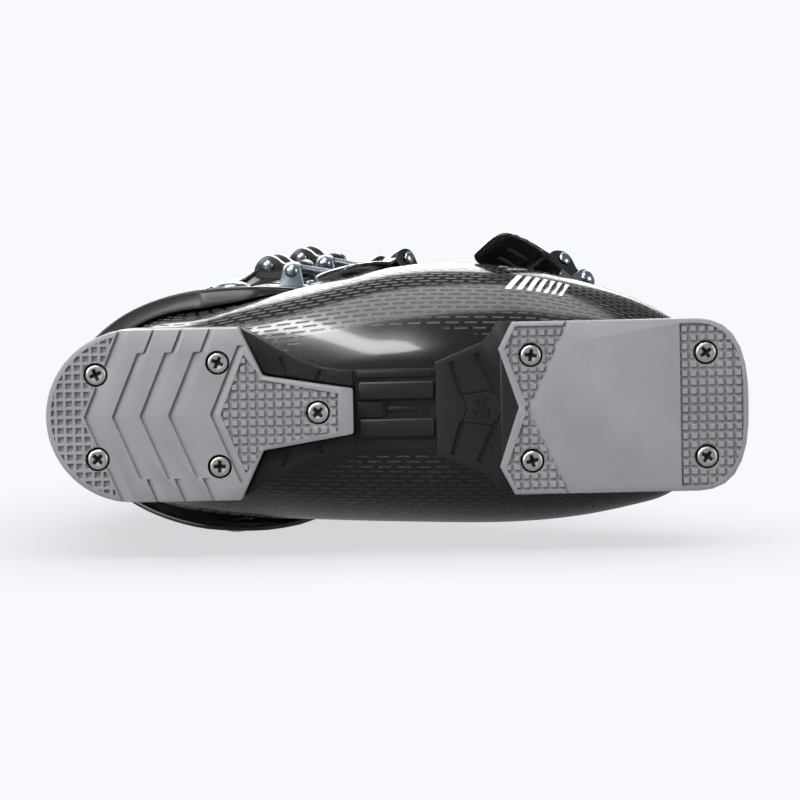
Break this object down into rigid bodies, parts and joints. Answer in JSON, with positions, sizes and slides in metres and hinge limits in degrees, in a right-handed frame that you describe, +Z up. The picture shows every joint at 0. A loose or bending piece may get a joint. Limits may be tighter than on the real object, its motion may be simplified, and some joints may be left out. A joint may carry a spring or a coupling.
{
  "type": "alpine ski boot",
  "caption": "Right alpine ski boot: a hinged cuff over a lower shell, with padded liner, lever buckles, power strap and screwed-on sole plates.",
  "frame": {"origin": "on the ground under the middle of the whole boot", "axes": "+Z up, the toe points along -Y, and the lateral side with the levers is -X"},
  "size_m": [0.1322, 0.285, 0.334],
  "materials": {
    "shell_gloss": "polished black polyurethane with moulded dashes",
    "cuff_satin": "satin black polyurethane",
    "sole_grey": "fine textured pale grey plastic",
    "screw_zinc": "zinc plated steel",
    "buckle_steel": "polished steel",
    "lever_black": "black anodised aluminium",
    "liner_fabric": "padded knitted fabric",
    "strap_webbing": "woven webbing",
    "board_foam": "moulded board",
    "insole_felt": "felt"
  },
  "bodies": {
    "shell": {"lower_shell": "shell_gloss", "toe_sole_plate": "sole_grey", "heel_sole_plate": "sole_grey", "toe_screw_1": "screw_zinc", "toe_screw_2": "screw_zinc", "toe_screw_3": "screw_zinc", "toe_screw_4": "screw_zinc", "heel_screw_1": "screw_zinc", "heel_screw_2": "screw_zinc", "heel_screw_3": "screw_zinc", "heel_screw_4": "screw_zinc", "heel_screw_5": "screw_zinc", "throat_gaiter": "cuff_satin", "bootboard": "board_foam", "insole": "insole_felt", "liner_foot": "liner_fabric", "cuff_pivot_lateral": "buckle_steel", "cuff_pivot_medial": "buckle_steel", "toe_bracket": "buckle_steel", "toe_bracket_rivet": "buckle_steel", "toe_ladder": "buckle_steel", "toe_ladder_rivet": "buckle_steel", "toe_pin_1": "buckle_steel", "toe_pin_2": "buckle_steel", "instep_bracket": "buckle_steel", "instep_bracket_rivet": "buckle_steel", "instep_ladder": "buckle_steel", "instep_ladder_rivet": "buckle_steel", "instep_pin_1": "buckle_steel", "instep_pin_2": "buckle_steel"},
    "cuff": {"cuff": "cuff_satin", "liner_shaft": "liner_fabric", "liner_tongue": "liner_fabric", "power_strap": "strap_webbing", "lower_cuff_bracket": "buckle_steel", "lower_cuff_bracket_rivet": "buckle_steel", "lower_cuff_ladder": "buckle_steel", "lower_cuff_ladder_rivet": "buckle_steel", "lower_cuff_pin_1": "buckle_steel", "lower_cuff_pin_2": "buckle_steel", "upper_cuff_bracket": "buckle_steel", "upper_cuff_bracket_rivet": "buckle_steel", "upper_cuff_ladder": "buckle_steel", "upper_cuff_ladder_rivet": "buckle_steel", "upper_cuff_pin_1": "buckle_steel", "upper_cuff_pin_2": "buckle_steel"},
    "toe_lever": {"toe_lever": "lever_black"},
    "toe_bail": {"toe_bail": "buckle_steel"},
    "instep_lever": {"instep_lever": "lever_black"},
    "instep_bail": {"instep_bail": "buckle_steel"},
    "lower_cuff_lever": {"lower_cuff_lever": "lever_black"},
    "lower_cuff_bail": {"lower_cuff_bail": "buckle_steel"},
    "upper_cuff_lever": {"upper_cuff_lever": "lever_black"},
    "upper_cuff_bail": {"upper_cuff_bail": "buckle_steel"}
  },
  "joints": [
    {"name": "cuff_flex", "type": "hinge", "parent": "shell", "child": "cuff", "pos_m": [0.00889, 0.0705, 0.092], "axis": [1, 0, 0], "range_deg": [0, 7], "stiffness_Nm_per_rad": 120},
    {"name": "toe_lever_turn", "type": "hinge", "parent": "shell", "child": "toe_lever", "pos_m": [-0.03594, -0.07511, 0.07113], "axis": [0.5174, 0.5588, 0.6481], "range_deg": [0, 100]},
    {"name": "toe_bail_turn", "type": "hinge", "parent": "toe_lever", "child": "toe_bail", "pos_m": [-0.04501, -0.067, 0.07137], "axis": [0.5174, 0.5588, 0.6481], "range_deg": [-125, 0]},
    {"name": "instep_lever_turn", "type": "hinge", "parent": "shell", "child": "instep_lever", "pos_m": [-0.04067, -0.00607, 0.10292], "axis": [0.2272, 0.7591, 0.6101], "range_deg": [0, 100]},
    {"name": "instep_bail_turn", "type": "hinge", "parent": "instep_lever", "child": "instep_bail", "pos_m": [-0.04889, 0.00091, 0.09729], "axis": [0.2272, 0.7591, 0.6101], "range_deg": [-125, 0]},
    {"name": "lower_cuff_lever_turn", "type": "hinge", "parent": "cuff", "child": "lower_cuff_lever", "pos_m": [-0.04487, 0.04385, 0.17186], "axis": [-0.0225, -0.2738, 0.9615], "range_deg": [0, 100]},
    {"name": "lower_cuff_bail_turn", "type": "hinge", "parent": "lower_cuff_lever", "child": "lower_cuff_bail", "pos_m": [-0.04732, 0.05533, 0.17507], "axis": [-0.0225, -0.2738, 0.9615], "range_deg": [-125, 0]},
    {"name": "upper_cuff_lever_turn", "type": "hinge", "parent": "cuff", "child": "upper_cuff_lever", "pos_m": [-0.04697, 0.03004, 0.22199], "axis": [-0.0473, -0.2615, 0.964], "range_deg": [0, 100]},
    {"name": "upper_cuff_bail_turn", "type": "hinge", "parent": "upper_cuff_lever", "child": "upper_cuff_bail", "pos_m": [-0.04974, 0.04151, 0.22496], "axis": [-0.0473, -0.2615, 0.964], "range_deg": [-125, 0]}
  ],
  "couplings": [
    {"joint": "toe_bail_turn", "follows": "toe_lever_turn", "ratio": -1.25},
    {"joint": "instep_bail_turn", "follows": "instep_lever_turn", "ratio": -1.25},
    {"joint": "lower_cuff_bail_turn", "follows": "lower_cuff_lever_turn", "ratio": -1.25},
    {"joint": "upper_cuff_bail_turn", "follows": "upper_cuff_lever_turn", "ratio": -1.25}
  ]
}
